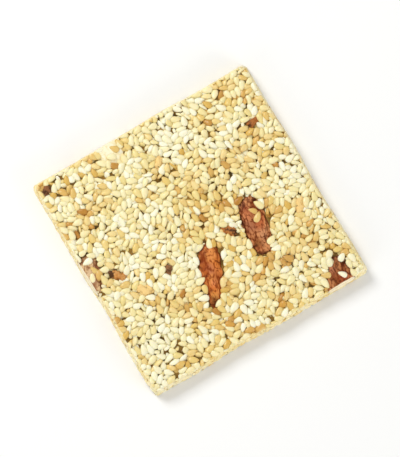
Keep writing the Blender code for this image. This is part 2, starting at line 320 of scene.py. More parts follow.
# The sizes of the patterns. The blotches and grain of seeds are drawn coarser than the real ones,
# so that they show. Wrinkles are in millimetres, as their map is.
SEED_BLOTCH = 0.7143 * MM
SEED_GRAIN = 0.1923 * MM
SYRUP_PATCH = 5.882 * MM
SUGAR_RIPPLE = 0.6667 * MM
SKIN_BLISTER = 1.613 * MM
WRINKLE_LENGTH = 2.0
WRINKLE_WIDTH = 0.4545
CRUMB_GRAIN = 0.5556 * MM

# The floor, the light from all round, and the lights: place, size and power.
FLOOR_REACH = 1.2
LIGHTS = {
    "key": ((-0.14, 0.53, 0.55), 0.3, 3.9),
    "fill": ((0.28, -0.6, 0.2), 0.4, 2.0),
    "side": ((-0.62, -0.24, 0.2), 0.4, 1.0),
}
SKY_STRENGTH = 0.48
# The camera looks almost straight down, and the slice is turned as in the photograph.
VIEW_AZIMUTH = -30.5
VIEW_ELEVATION = 83.0
VIEW_DISTANCE = 0.9
VIEW_SPAN = 0.122


def linear(hex_colour):
    """The linear red, green, blue and alpha of an sRGB hex colour."""
    parts = np.array([int(hex_colour[i : i + 2], 16) / 255 for i in (1, 3, 5)])
    rim_shade_mask = parts / 12.92
    high = ((parts + 0.055) / 1.055) ** 2.4
    return (*np.where(parts <= 0.04045, rim_shade_mask, high).tolist(), 1.0)


def fill_inputs(node, inputs):
    """Gives a node's inputs their values, or links them to other nodes."""
    for key, value in inputs.items():
        if isinstance(value, bpy.types.NodeSocket):
            node.id_data.links.new(value, node.inputs[key])
        else:
            node.inputs[key].default_value = value


def add_node(material, kind, inputs=None, stops=None, out=0, **settings):
    """Adds a shader node, fills its properties, ramp and inputs, and returns one output."""
    node = material.node_tree.nodes.new("ShaderNode" + kind)
    for name, value in settings.items():
        setattr(node, name, value)
    fill_inputs(node, inputs or {})
    if stops:
        ramp = node.color_ramp
        while len(ramp.elements) < len(stops):
            ramp.elements.new(1.0)
        for element, (place, colour) in zip(ramp.elements, stops):
            element.position = place
            element.color = linear(colour)
    return node.outputs[out]


def new_material(name):
    """An empty material with its shader, ready for nodes."""
    material = bpy.data.materials.new(name)
    material.use_nodes = True
    return material, material.node_tree.nodes["Principled BSDF"]


def new_object(name, data):
    """An object in the scene that shows a mesh, a light or a camera."""
    thing = bpy.data.objects.new(name, data)
    bpy.context.scene.collection.objects.link(thing)
    return thing


def mesh_piece(name, points, faces, replaced, attributes):
    """A smooth-shaded piece from arrays, which rides on the slice and replaces a node."""
    mesh = bpy.data.meshes.new(name)
    mesh.from_pydata(points.reshape(-1, 3), [], faces)
    for label, values in attributes.items():
        kind, field = ("FLOAT_COLOR", "color") if values.shape[-1] == 4 else ("FLOAT", "value")
        mesh.attributes.new(label, kind, "POINT").data.foreach_set(field, values.ravel())
    mesh.shade_smooth()
    mesh.update()
    piece = new_object(name, mesh)
    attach(piece, "root")
    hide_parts(replaced)
    return piece


def ball_faces(rings, around, count=1):
    """Faces of closed surfaces of rings with a pole at each end, turned outwards, as one list.

    The points of each surface are numbered ring by ring, then the first pole, then the last.
    """
    step = np.arange(around)
    after = (step + 1) % around
    near = np.arange(rings - 1)[:, None] * around
    far = near + around
    quads = np.stack((near + step, far + step, far + after, near + after), axis=-1).reshape(-1, 4)
    first, last, end = rings * around, rings * around + 1, (rings - 1) * around
    first_cap = np.stack((np.full(around, first), step, after), axis=-1)
    last_cap = np.stack((np.full(around, last), end + after, end + step), axis=-1)
    triangles = np.concatenate((first_cap, last_cap))
    shift = (np.arange(count) * (last + 1))[:, None, None]
    return (quads + shift).reshape(-1, 4).tolist() + (triangles + shift).reshape(-1, 3).tolist()


def ring_grid(rings, around):
    """The two parameters of a closed surface: shares from end to end, and angles around."""
    share = ((np.arange(rings) + 1) / (rings + 1))[:, None]
    angle = (np.arange(around) / around * 2 * math.pi)[None]
    return share, angle


def with_ends(rings, reach):
    """Rings round the X axis as one list of points, with a last point for each end."""
    return np.concatenate((rings.reshape(-1, 3), ((reach, 0, 0), (-reach, 0, 0))))


def unit_rows(vectors):
    """The same directions, each of length 1."""
    return vectors / np.linalg.norm(vectors, axis=1, keepdims=True)


def turned_axes(heading):
    """The directions along, across and up as rows, for a heading in degrees."""
    turn = math.radians(heading)
    along = (math.cos(turn), math.sin(turn), 0)
    across = (-math.sin(turn), math.cos(turn), 0)
    return np.array((along, across, (0, 0, 1)))


def waver(along, turn, half_run):
    """The waver of a cut: sines out of step, each of its own length, that fade towards the corners."""
    fade = np.cos(math.pi / 2 * np.minimum(1.0, np.abs(along) / half_run))
    return SIDE_WAVE * fade * sum(share * np.sin(along / run + step * turn) for share, run, step in WAVES)


def inside_sides(points):
    """How far points lie inside the cut sides, and the outward direction of the nearest one.

    The outline is a rectangle with round corners. Past a straight side the distance is straight,
    and past a corner it is taken from the middle of the corner's round.
    """
    x, y, z = points[..., 0], points[..., 1], points[..., 2]
    lean = SIDE_LEAN * z / THICKNESS
    turn_x = np.where(x >= 0, 0.0, math.pi)
    turn_y = np.where(y >= 0, math.pi / 2, 1.5 * math.pi)
    reach_x = LENGTH / 2 - lean + waver(np.where(x >= 0, y, -y), turn_x, WIDTH / 2)
    reach_y = WIDTH / 2 - lean + waver(np.where(y >= 0, -x, x), turn_y, LENGTH / 2)
    past_x = np.abs(x) - reach_x + CORNER_RADIUS
    past_y = np.abs(y) - reach_y + CORNER_RADIUS
    in_corner = (past_x > 0) & (past_y > 0)
    corner = np.hypot(past_x, past_y)
    inside = CORNER_RADIUS - np.where(in_corner, corner, np.maximum(past_x, past_y))
    toward_x = np.where(in_corner, past_x / corner, past_x >= past_y)
    toward_y = np.where(in_corner, past_y / corner, past_x < past_y)
    lean_angle = math.atan2(SIDE_LEAN, THICKNESS)
    upward = np.full_like(x, math.tan(lean_angle))
    outward = np.stack((toward_x * np.sign(x), toward_y * np.sign(y), upward), axis=-1)
    return inside * math.cos(lean_angle), outward * math.cos(lean_angle)


def almond_swell(almond, share):
    """How full an almond is along its length: a sine of the share, bent by taper and blunted."""
    return np.maximum(np.sin(math.pi * share**almond.taper), 0.0) ** almond.blunt


def half_width(almond, share):
    """Half of an almond's width, for shares along it."""
    return almond_swell(almond, share) * almond.width * MM / 2


def share_along(almond, along):
    """The share from an almond's narrow end to its wide one, for places along from its middle."""
    return np.arccos(np.clip(along / (almond.length * MM / 2), -1, 1)) / math.pi


def bared_half_width(name, share):
    """Half the width of an almond that the seeds leave bare, for shares along it."""
    almond = ALMONDS[name]
    bare = half_width(almond, share) * BARED[name][0]
    if name in NECKS:
        neck, up_to = NECKS[name]
        widening = np.clip((share - up_to) / NECK_WIDENING, 0, 1)
        bare = np.minimum(bare, neck / 2 + widening * almond.width * MM / 2)
    return bare


def almond_frame(almond):
    """An almond's middle, and the directions of its length, width and height as rows."""
    middle = np.array((almond.x * MM, almond.y * MM, THICKNESS - almond.height * MM / 2))
    return middle, turned_axes(almond.heading)


def near_pairs(points, reach, owner):
    """Pairs of points of different owners that are nearer than the reach.

    Points are sorted into cubes as wide as the reach, and each cube is matched with its neighbours.
    """
    cell = np.floor((points - points.min(axis=0)) / reach).astype(np.int64) + 1
    size = cell.max(axis=0) + 2
    key_steps = np.array((size[1] * size[2], size[2], 1))
    key = cell @ key_steps
    order = np.argsort(key, kind="stable")
    ordered = key[order]
    firsts, seconds = [], []
    for step in (np.indices((3, 3, 3)).reshape(3, -1).T - 1) @ key_steps:
        start = np.searchsorted(ordered, key + step, "left")
        count = np.searchsorted(ordered, key + step, "right") - start
        first = np.repeat(np.arange(len(points)), count)
        offset = np.arange(count.sum()) - np.repeat(np.cumsum(count) - count, count)
        second = order[np.repeat(start, count) + offset]
        keep = (first < second) & (owner[first] != owner[second])
        firsts.append(first[keep])
        seconds.append(second[keep])
    first, second = np.concatenate(firsts), np.concatenate(seconds)
    close = ((points[first] - points[second]) ** 2).sum(axis=1) < reach**2
    return first[close], second[close]


def push_apart(points, radius, first, second):
    """Moves the points of each pair that overlap away from each other, in place."""
    apart = points[first] - points[second]
    distance = np.maximum(np.linalg.norm(apart, axis=1), SHORTEST)
    overlap = np.maximum(radius[first] + radius[second] - distance, 0.0)
    push = apart * (GIVE_WAY * overlap / distance)[:, None]
    for axis in range(3):
        points[:, axis] += np.bincount(first, push[:, axis], len(points))
        points[:, axis] -= np.bincount(second, push[:, axis], len(points))


def push_out_of_almonds(points, radius, lap, lot, ragged):
    """Moves points out of the almonds, away from each almond's own long axis.

    points are in the stretched space. A place above an almond's axis counts as lower than it is, by
    lap, so that the walls are steep there and each seed laps the rim a little by its own share.
    ragged is the share of the bare width that a seed keeps. Seeds whose lot is low lie over it.
    """
    for name, almond in ALMONDS.items():
        middle, axes = almond_frame(almond)
        half_length = almond.length * MM / 2
        _, bare_from, bare_to, over = BARED[name]
        local = (points - middle * (1, 1, STRETCH)) @ axes.T
        full = bared_half_width(name, share_along(almond, local[:, 0])) * ragged + radius
        away = np.hypot(local[:, 1], np.where(local[:, 2] > 0, lap, 1.0) * local[:, 2])
        push = np.maximum(full - away, 0.0) / np.maximum(away, SHORTEST)
        slack = END_SLACK * radius
        held = (lot > over) & (local[:, 0] < (1 - 2 * bare_from) * half_length + slack)
        held &= local[:, 0] > (1 - 2 * bare_to) * half_length - slack
        local[:, 1:] *= (1 + push * held)[:, None]
        points = local @ axes + middle * (1, 1, STRETCH)
    return points


def place_pits(rng):
    """Where pits are left between the seeds: as listed, at random, and beside the almonds."""
    listed = np.array(LARGE_PITS)[:, :2] * MM
    places = [listed, rng.uniform(-0.5, 0.5, (PIT_COUNT, 2)) * (LENGTH, WIDTH)]
    for name, almond in ALMONDS.items():
        middle, axes = almond_frame(almond)
        share = rng.uniform(*RIM_PIT_SPAN, RIM_PITS)
        side = rng.choice((-1, 1), RIM_PITS)
        along = almond.length * MM / 2 * np.cos(math.pi * share)
        across = side * (bared_half_width(name, share) + RIM_PIT_OUT * PIT_WIDTH)
        places.append(np.stack((along, across), axis=1) @ axes[:2, :2] + middle[:2])
    return np.concatenate(places)


def crown_heights(draws):
    """How high each seed's crown may reach, for draws from 0 to 1: most near the highest."""
    return HIGHEST_CROWN - CROWN_SPREAD * draws**CROWN_BIAS


def start_seeds(rng):
    """Where all that is packed starts, which way it points, its length and its width.

    Pits come first, then crumbs and stuck seeds, which all stay where they are, then the loose
    seeds at random. Also returns how many pits and crumbs there are, and how many stay in all.
    """
    pit = place_pits(rng)
    crumb = np.array(CRUMBS)
    stuck = np.array(STUCK_SEEDS)
    free = len(pit) + len(crumb)
    fixed = free + len(stuck)
    count = SEED_COUNT + fixed
    size = 1 + SEED_SIZE_SPREAD * np.clip(rng.standard_normal(count), -2, 2)
    length, width = SEED_LENGTH * size, SEED_WIDTH * size
    length[: len(pit)] = PIT_DEPTH * STRETCH
    width[: len(pit)] = PIT_WIDTH * rng.uniform(*PIT_WIDTH_SPREAD, len(pit))
    width[: len(LARGE_PITS)] = np.array(LARGE_PITS)[:, 2] * MM
    length[len(pit) : free] = crumb[:, 2] * MM
    width[len(pit) : free] = crumb[:, 3] * MM
    middle = rng.uniform(-0.5, 0.5, (count, 3)) * (LENGTH, WIDTH, THICKNESS * STRETCH)
    middle[:, :2] *= 1 + 2 * PAST_CUT / LENGTH
    middle[:, 2] += THICKNESS * STRETCH / 2
    turn = rng.uniform(0, 2 * math.pi, count)
    middle[:fixed, :2] = np.concatenate((pit, crumb[:, :2] * MM, stuck[:, :2] * MM))
    middle[:fixed, 2] = (THICKNESS - SEED_THICKNESS / 2) * STRETCH
    turn[len(pit) : fixed] = np.radians(np.concatenate((crumb[:, 4], stuck[:, 2])))
    slope = START_SLOPE * rng.standard_normal(count)
    toward = np.stack((np.cos(turn), np.sin(turn), slope), axis=1)
    toward[:fixed, 2] = 0
    toward[: len(pit)] = (0, 0, -1)
    return middle, unit_rows(toward), length, width, free, fixed


def pack_seeds(rng):
    """Where each seed lies, which way it points, and its size.

    In each step the spheres that stand for the seeds push each other apart, the almonds push them
    out, and the rolled faces and a wall just past the cuts keep them in. Each seed is then put
    straight again through its three spheres, and leans back towards lying flat. Pits and crumbs
    are kept free like seeds that stay where they are.
    """
    middle, toward, length, width, free, fixed = start_seeds(rng)
    count = len(middle)
    shares = np.array(SEED_SPHERES)
    owner = np.repeat(np.arange(count), 3)
    radius = (width[:, None] * shares[:, 1]).ravel()
    loose = np.arange(count) >= fixed
    lap = np.repeat(rng.uniform(*RIM_LAP, count), 3)
    lot = np.repeat(rng.random(count), 3)
    ragged = np.repeat(rng.uniform(*RAGGED, count), 3)
    ceiling = crown_heights(np.repeat(rng.random(count), 3)) * STRETCH - radius
    for step in range(PACKING_STEPS):
        along = toward[:, None] * length[:, None, None] * shares[:, 0, None]
        points = (middle[:, None] + along).reshape(-1, 3)
        if step % PAIR_REFRESH == 0:
            first, second = near_pairs(points, PAIR_REACH, owner)
        push_apart(points, radius, first, second)
        points = push_out_of_almonds(points, radius, lap, lot, ragged)
        points[:, 2] = np.clip(points[:, 2], radius, ceiling)
        inside, outward = inside_sides(points / (1, 1, STRETCH))
        points[:, :2] -= (outward * np.maximum(-PAST_CUT - inside, 0)[:, None])[:, :2]
        chain = points.reshape(count, 3, 3)
        middle[loose] = chain.mean(axis=1)[loose]
        toward[loose] = (chain[:, 2] - chain[:, 0])[loose]
        toward[loose, 2] *= SLOPE_KEPT
        toward = unit_rows(toward)
        # The three spheres lie a little ahead of the seed's own middle.
        middle[loose] -= toward[loose] * (length[loose] * shares[:, 0].mean())[:, None]
    middle[:, 2] /= STRETCH
    toward[:, 2] /= STRETCH
    return middle[free:], unit_rows(toward)[free:], length[free:], width[free:]


def seed_surface():
    """A seed of length, width and thickness 1 along X, its narrow end at +X.

    Two parameters: the share from end to end, whose cosine gives the place along, and the angle
    around. The half width is a blunted sine that narrows towards the tip, and the thickness is
    a flatter one, so that both faces are nearly level and the rim is round.
    """
    share, angle = ring_grid(SEED_RINGS, SEED_AROUND)
    along = 0.5 * np.cos(math.pi * share)
    full = np.sin(math.pi * share) ** SEED_FULLNESS
    wide = SEED_HALF_WIDTH * full * (1 - SEED_TAPER * 2 * along)
    thick = 0.5 * full**FACE_FULLNESS * (1 - TIP_THINNING * SEED_TAPER * 2 * along)
    rings = np.broadcast_arrays(along, wide * np.cos(angle), thick * np.sin(angle))
    return with_ends(np.stack(rings, axis=-1), 0.5)


def cut_at_sides(points, proud=0.0):
    """Cuts each body of points flat in the slice's sides, or in faces that stand proud of them.

    A point past a side is drawn along the line to its body's deepest point until it lies in the
    side. Returns the points, how far inside a cut face each lies, from 0 at its rim to 1, and which
    bodies lie in the slice at all.
    """
    inside = inside_sides(points)[0] + proud
    deepest = inside.argmax(axis=1)
    row = np.arange(len(points))
    anchor, room = points[row, deepest], inside[row, deepest]
    span = np.maximum(room[:, None] - inside, ALMOST_ZERO)
    share = np.where(inside < 0, room[:, None] / span, 1.0)
    points = anchor[:, None] + (points - anchor[:, None]) * share[..., None]
    return points, np.clip(CUT_SHARPNESS * (1 - share), 0, 1), room > LEAST_INSIDE


def over_almonds(middle):
    """Which of the places near the top lie over an almond."""
    over = np.zeros(len(middle), dtype=bool)
    for almond in ALMONDS.values():
        centre, axes = almond_frame(almond)
        local = (middle - centre) @ axes.T
        over |= np.abs(local[:, 1]) < half_width(almond, share_along(almond, local[:, 0]))
    return over & (middle[:, 2] > THICKNESS - NEAR_TOP)


def lay_seeds(rng, middle, toward, length, width):
    """The points of every seed, which of them were cut, and which seeds show.

    Each seed is rolled a little round its own length, and shifted up or down to lie between the
    rolled faces. Seeds over an almond lie flat on it. Seeds that the sugar hides are left out.
    """
    count = len(middle)
    over = over_almonds(middle)
    toward = toward.copy()
    toward[over, 2] *= FLATTENED
    toward = unit_rows(toward)
    roll = np.where(rng.random(count) < LARGE_ROLL_SHARE, LARGE_ROLL, ROLL) * rng.standard_normal(count)
    roll[over] *= FLATTENED
    side = unit_rows(np.cross((0, 0, 1), toward))
    up = np.cross(toward, side)
    rolled_side = side * np.cos(roll)[:, None] + up * np.sin(roll)[:, None]
    rolled_up = up * np.cos(roll)[:, None] - side * np.sin(roll)[:, None]
    thickness = SEED_THICKNESS * (width / SEED_WIDTH) * rng.uniform(*THICKNESS_SPREAD, count)
    axes = np.stack(
        (toward * length[:, None], rolled_side * width[:, None], rolled_up * thickness[:, None]),
        axis=1,
    )
    points = middle[:, None] + seed_surface()[None] @ axes
    top = crown_heights(rng.random(count))
    points[..., 2] -= np.maximum(points[..., 2].max(axis=1) - top, 0)[:, None]
    points[over, :, 2] += (HIGHEST_CROWN - points[over, :, 2].max(axis=1))[:, None]
    points[..., 2] -= np.minimum(points[..., 2].min(axis=1), 0)[:, None]
    points, cut, present = cut_at_sides(points)
    bared = points[..., 2] > THICKNESS - SUGAR_BELOW_TOP
    bared |= points[..., 2] < SUGAR_ABOVE_FLOOR
    bared |= inside_sides(points)[0] < SUGAR_BEHIND_CUT
    return points, cut, present & bared.any(axis=1)


def patchy(points, rng, size, waves=9):
    """A smooth random value from 0 to 1: the mean of plane waves of about the given length."""
    total = np.zeros(points.shape[:-1])
    for _ in range(waves):
        heading = rng.uniform(0, 2 * math.pi)
        run = size * rng.uniform(*PATCH_RUNS)
        along = points[..., 0] * math.cos(heading) + points[..., 1] * math.sin(heading)
        total += np.sin(2 * math.pi * along / run + rng.uniform(0, 2 * math.pi))
    return 0.5 + 0.5 * np.tanh(total / math.sqrt(waves))


def hulled_sesame(name, stops, tip):
    """Hulled sesame, roasted and glazed: a waxy seed coat under a film of set sugar.

    The coat is matt and a little see-through, so it has a soft glow, and the sugar over it gives
    small bright glints. The tip is the darker end, and a cut seed is pale straw inside.
    """
    material, shader = new_material(name)
    tone, along, cut = (
        add_node(material, "Attribute", out="Fac", attribute_name=label)
        for label in ("tone", "along", "cut")
    )
    place = add_node(material, "TexCoord", out="Object")
    blotch = add_node(material, "TexNoise", {"Vector": place, "Scale": 1 / SEED_BLOTCH, "Detail": 2.0})
    mottle = add_node(material, "Math", {0: blotch, 1: 0.22, 2: tone}, operation="MULTIPLY_ADD")
    shift = add_node(material, "Math", {0: mottle, 1: 0.11}, operation="SUBTRACT")
    coat = add_node(material, "ValToRGB", {"Fac": shift}, stops=stops)
    tip_share = add_node(
        material, "MapRange", {"Value": along, "From Min": 0.25, "From Max": 0.5, "To Max": 0.75}
    )
    tipped = add_node(material, "Mix", {0: tip_share, 6: coat, 7: linear(tip)}, out=2, data_type="RGBA")
    colour = add_node(
        material, "Mix", {0: cut, 6: tipped, 7: linear("#F4DA98")}, out=2, data_type="RGBA"
    )
    grain = add_node(material, "TexNoise", {"Vector": place, "Scale": 1 / SEED_GRAIN, "Detail": 1.0})
    bump = add_node(material, "Bump", {"Height": grain, "Strength": 0.25, "Distance": 0.05 * MM})
    rough = add_node(material, "MapRange", {"Value": blotch, "To Min": 0.3, "To Max": 0.52})
    surface = {
        "Base Color": colour,
        "Roughness": rough,
        "Normal": bump,
        "IOR": 1.47,
        "Specular IOR Level": 0.35,
        "Coat Weight": 0.2,
        "Coat Roughness": 0.14,
        "Subsurface Weight": 0.24,
        "Subsurface Radius": (1.0, 0.8, 0.5),
        "Subsurface Scale": 0.7 * MM,
    }
    fill_inputs(shader, surface)
    return material


def build_seeds(rng):
    """The shown seeds as joined meshes, one for each degree of roasting.

    tone places a seed in its own kind's range of colours, along runs from tail to tip, and cut
    marks where the knife went through.
    """
    middle, toward, length, width = pack_seeds(rng)
    points, cut, seen = lay_seeds(rng, middle, toward, length, width)
    x, y = middle[:, 0], middle[:, 1]
    tone = np.clip(rng.normal(0.5, TONE_SPREAD, len(middle)), 0, 1)
    roast = OWN_ROAST * rng.random(len(middle)) + (1 - OWN_ROAST) * patchy(middle, rng, ROAST_PATCH)
    for place_x, place_y, reach, change in ROASTED_PLACES:
        away = (x - place_x * MM) ** 2 + (y - place_y * MM) ** 2
        roast += change * np.exp(-away / (reach * MM) ** 2)
    along = np.broadcast_to(seed_surface()[:, 0], cut.shape)
    for name, (least, most, colours, tip) in SEED_KINDS.items():
        chosen = seen & (roast >= least) & (roast < most)
        faces = ball_faces(SEED_RINGS, SEED_AROUND, int(chosen.sum()))
        attributes = {
            "tone": np.broadcast_to(tone[chosen, None], cut[chosen].shape),
            "along": along[chosen],
            "cut": CUT_PALENESS * cut[chosen],
        }
        piece = mesh_piece(name, points[chosen], faces, "sesame_slab", attributes)
        stops = tuple(zip(COAT_PLACES, colours))
        coat = hulled_sesame("hulled_sesame_" + name.removeprefix("seeds_"), stops, tip)
        piece.data.materials.append(coat)


def boiled_sugar():
    """Boiled sugar, set clear: amber glass between the seeds, with a bright smooth surface.

    It is drawn as a solid amber body with a little light passing through it, darker in patches,
    and painted far darker than clear sugar overall, as shade down in the gaps between the seeds.
    """
    material, shader = new_material("boiled_sugar")
    place = add_node(material, "TexCoord", out="Object")
    patch = add_node(material, "TexNoise", {"Vector": place, "Scale": 1 / SYRUP_PATCH, "Detail": 3.0})
    # Painted shade: these browns are darker than the sugar's own amber, so they stand for the shade in the
    # gaps between the seeds.
    shaded_syrup = add_node(
        material, "ValToRGB", {"Fac": patch}, stops=((0.3, "#4A3810"), (0.5, "#7E5E20"), (0.72, "#B48E44"))
    )
    crushed = add_node(material, "Attribute", out="Fac", attribute_name="crushed")
    # The knife leaves sugar and seeds crushed to a pale paste on the sides.
    paste = add_node(
        material, "ValToRGB", {"Fac": patch}, stops=((0.3, "#B08238"), (0.5, "#D0AA5E"), (0.7, "#E8CC8A"))
    )
    colour = add_node(material, "Mix", {0: crushed, 6: shaded_syrup, 7: paste}, out=2, data_type="RGBA")
    ripple = add_node(material, "TexNoise", {"Vector": place, "Scale": 1 / SUGAR_RIPPLE, "Detail": 1.0})
    bump = add_node(material, "Bump", {"Height": ripple, "Strength": 0.3, "Distance": 0.2 * MM})
    surface = {
        "Base Color": colour,
        "Roughness": 0.16,
        "Normal": bump,
        "IOR": 1.5,
        "Specular IOR Level": 0.3,
        "Subsurface Weight": 0.3,
        "Subsurface Radius": (1.0, 0.5, 0.15),
        "Subsurface Scale": 1.2 * MM,
    }
    fill_inputs(shader, surface)
    return material


def build_sugar(rng):
    """The sugar body: a disc of rings round the slice's outline, closed over top and underside.

    One parameter runs around the outline, the other along a profile: from the middle of the top
    out to the rim, down the leaning side, and in to the middle of the underside.
    """
    turn = np.arange(SUGAR_AROUND) / SUGAR_AROUND * 2 * math.pi
    # A squared circle fills the corners evenly.
    edge = np.stack((np.cos(turn), np.sin(turn)), axis=1)
    edge /= np.abs(edge).max(axis=1, keepdims=True)
    top = THICKNESS - SUGAR_BELOW_TOP
    share = np.arange(1, SUGAR_STEPS + 1) / SUGAR_STEPS
    side = np.linspace(top, SUGAR_ABOVE_FLOOR, SUGAR_SIDE_STEPS + 1)[1:]
    profile = [(out, top) for out in share]
    profile += [(1.0, height) for height in side]
    profile += [(out, SUGAR_ABOVE_FLOOR) for out in share[-2::-UNDERSIDE_STRIDE]]
    scale, height = np.array(profile).T
    rings = np.empty((len(profile), SUGAR_AROUND, 3))
    rings[..., :2] = edge * scale[:, None, None] * (LENGTH / 2, WIDTH / 2)
    rings[..., 2] = height[:, None]
    inside, outward = inside_sides(rings)
    short = np.maximum(SUGAR_BEHIND_CUT - inside, 0)
    rings[..., :2] -= (outward * short[..., None])[..., :2]
    on_top = np.arange(len(profile)) < SUGAR_STEPS
    rings[on_top, :, 2] += SUGAR_WAVE * (patchy(rings[on_top], rng, SUGAR_WAVE_RUN) - 0.5)
    ends = np.array(((0, 0, top), (0, 0, SUGAR_ABOVE_FLOOR)))
    points = np.concatenate((rings.reshape(-1, 3), ends))
    # From the rim of the top down to the rim of the underside.
    crushed = np.zeros(len(points))
    crushed[(SUGAR_STEPS - 1) * SUGAR_AROUND : (SUGAR_STEPS + SUGAR_SIDE_STEPS) * SUGAR_AROUND] = 1.0
    # The rings turn round +Z from the top down, as a seed's do round +X from its tip, so the same
    # faces look outwards.
    faces = ball_faces(len(profile), SUGAR_AROUND)
    piece = mesh_piece("sugar_body", points, faces, "sesame_slab", {"crushed": crushed})
    piece.data.materials.append(boiled_sugar())


def roasted_skin(name, rim, groove_shade, mid, ridge):
    """Roasted almond skin: papery and wrinkled along the nut, under a film of sugar.

    Ridges are painted paler, as if lit, and the grooves and the rim on the nut's lower sides are painted
    dark, as shade; spots of other colours are partly the skin's own blotches and partly painted
    highlights and shade. A cut shows pale flesh with the seam between the nut's halves.
    """
    material, shader = new_material(name)
    relief, crease, rim_shade_mask, spot, cut, seam = (
        add_node(material, "Attribute", out="Fac", attribute_name=label)
        for label in ("ridge", "crease", "rim", "spot", "cut", "seam")
    )
    tint = add_node(material, "Attribute", attribute_name="tint")
    skin_map = add_node(material, "UVMap", uv_map="skin")
    place = add_node(material, "TexCoord", out="Object")
    # The map runs along and across the nut, so this noise is drawn out into wrinkles.
    stretched = add_node(
        material, "Mapping", {"Vector": skin_map, "Scale": (1 / WRINKLE_LENGTH, 1 / WRINKLE_WIDTH, 1.0)}
    )
    fibre = add_node(
        material, "TexNoise", {"Vector": stretched, "Scale": 1.0, "Detail": 4.0, "Roughness": 0.65}
    )
    # Patches of noise, which make the spots, the painted rim shade, the roughness and the cuts uneven.
    patch = add_node(
        material, "TexNoise", {"Vector": place, "Scale": 1 / SKIN_BLISTER, "Detail": 3.0, "Roughness": 0.6}
    )
    # Painted light: the colour follows the relief as well as the mottling, paler up on the ridges as if
    # lit.
    height = add_node(material, "Math", {0: fibre, 1: 0.75, 2: relief}, operation="MULTIPLY_ADD")
    shade = add_node(material, "Math", {0: height, 1: 0.42}, operation="SUBTRACT")
    base = add_node(material, "ValToRGB", {"Fac": shade}, stops=((0.3, mid), (0.66, ridge)))
    # Spots: partly the skin's own blotches, partly painted highlights and painted shade.
    spotted = add_node(material, "Math", {0: spot, 1: patch}, operation="MULTIPLY")
    spot_share = add_node(
        material, "MapRange", {"Value": spotted, "From Min": 0.12, "From Max": 0.42, "To Max": 0.8}
    )
    spot_tinted = add_node(material, "Mix", {0: spot_share, 6: base, 7: tint}, out=2, data_type="RGBA")
    # Painted shade down in the creases, in the colour of the grooves.
    crack_shade = add_node(material, "Math", {0: fibre, 1: 0.6, 2: crease}, operation="MULTIPLY_ADD")
    crack_shade_share = add_node(
        material, "MapRange", {"Value": crack_shade, "From Min": 0.56, "From Max": 0.36, "To Max": 0.9}
    )
    groove_shaded = add_node(
        material, "Mix", {0: crack_shade_share, 6: spot_tinted, 7: linear(groove_shade)}, out=2, data_type="RGBA"
    )
    # Painted shade on the nut's lower sides, where the seeds meet it, with a ragged edge.
    ragged = add_node(material, "Math", {0: patch, 1: 1.6, 2: rim_shade_mask}, operation="MULTIPLY_ADD")
    rim_shade_share = add_node(
        material, "MapRange", {"Value": ragged, "From Min": 1.05, "From Max": 1.45, "To Max": 0.95}
    )
    rim_shaded = add_node(
        material, "Mix", {0: rim_shade_share, 6: groove_shaded, 7: linear(rim)}, out=2, data_type="RGBA"
    )
    flesh = add_node(
        material, "ValToRGB", {"Fac": seam}, stops=((0.46, "#F4E8C8"), (0.5, "#C9A873"), (0.54, "#F4E8C8"))
    )
    # The knife drags the flesh, so it is darker in patches.
    drag = add_node(
        material, "MapRange", {"Value": patch, "From Min": 0.42, "From Max": 0.72, "To Max": 0.6}
    )
    dragged = add_node(
        material, "Mix", {0: drag, 6: flesh, 7: linear("#DEC493")}, out=2, data_type="RGBA"
    )
    colour = add_node(material, "Mix", {0: cut, 6: rim_shaded, 7: dragged}, out=2, data_type="RGBA")
    bump = add_node(material, "Bump", {"Height": fibre, "Strength": 0.7, "Distance": 0.12 * MM})
    rough = add_node(material, "MapRange", {"Value": patch, "To Min": 0.3, "To Max": 0.6})
    surface = {
        "Base Color": colour,
        "Roughness": rough,
        "Normal": bump,
        "IOR": 1.47,
        "Specular IOR Level": 0.12,
    }
    fill_inputs(shader, surface)
    return material


def crumpled(places, rng, run, waves=16):
    """A random value from 0 to 1 over places in three directions: plane waves of about one length."""
    directions = unit_rows(rng.standard_normal((waves, 3)))
    turns = 2 * math.pi / (run * rng.uniform(*CRUMPLE_RUNS, waves))
    waved = np.sin(places @ (directions * turns[:, None]).T + rng.uniform(0, 2 * math.pi, waves))
    return 0.5 + 0.5 * np.tanh(waved.sum(axis=-1) / math.sqrt(waves))


def creased(places, rng, run):
    """A random value that falls to 0 along winding lines, where a crumpled one crosses its middle."""
    return np.abs(2 * crumpled(places, rng, run) - 1)


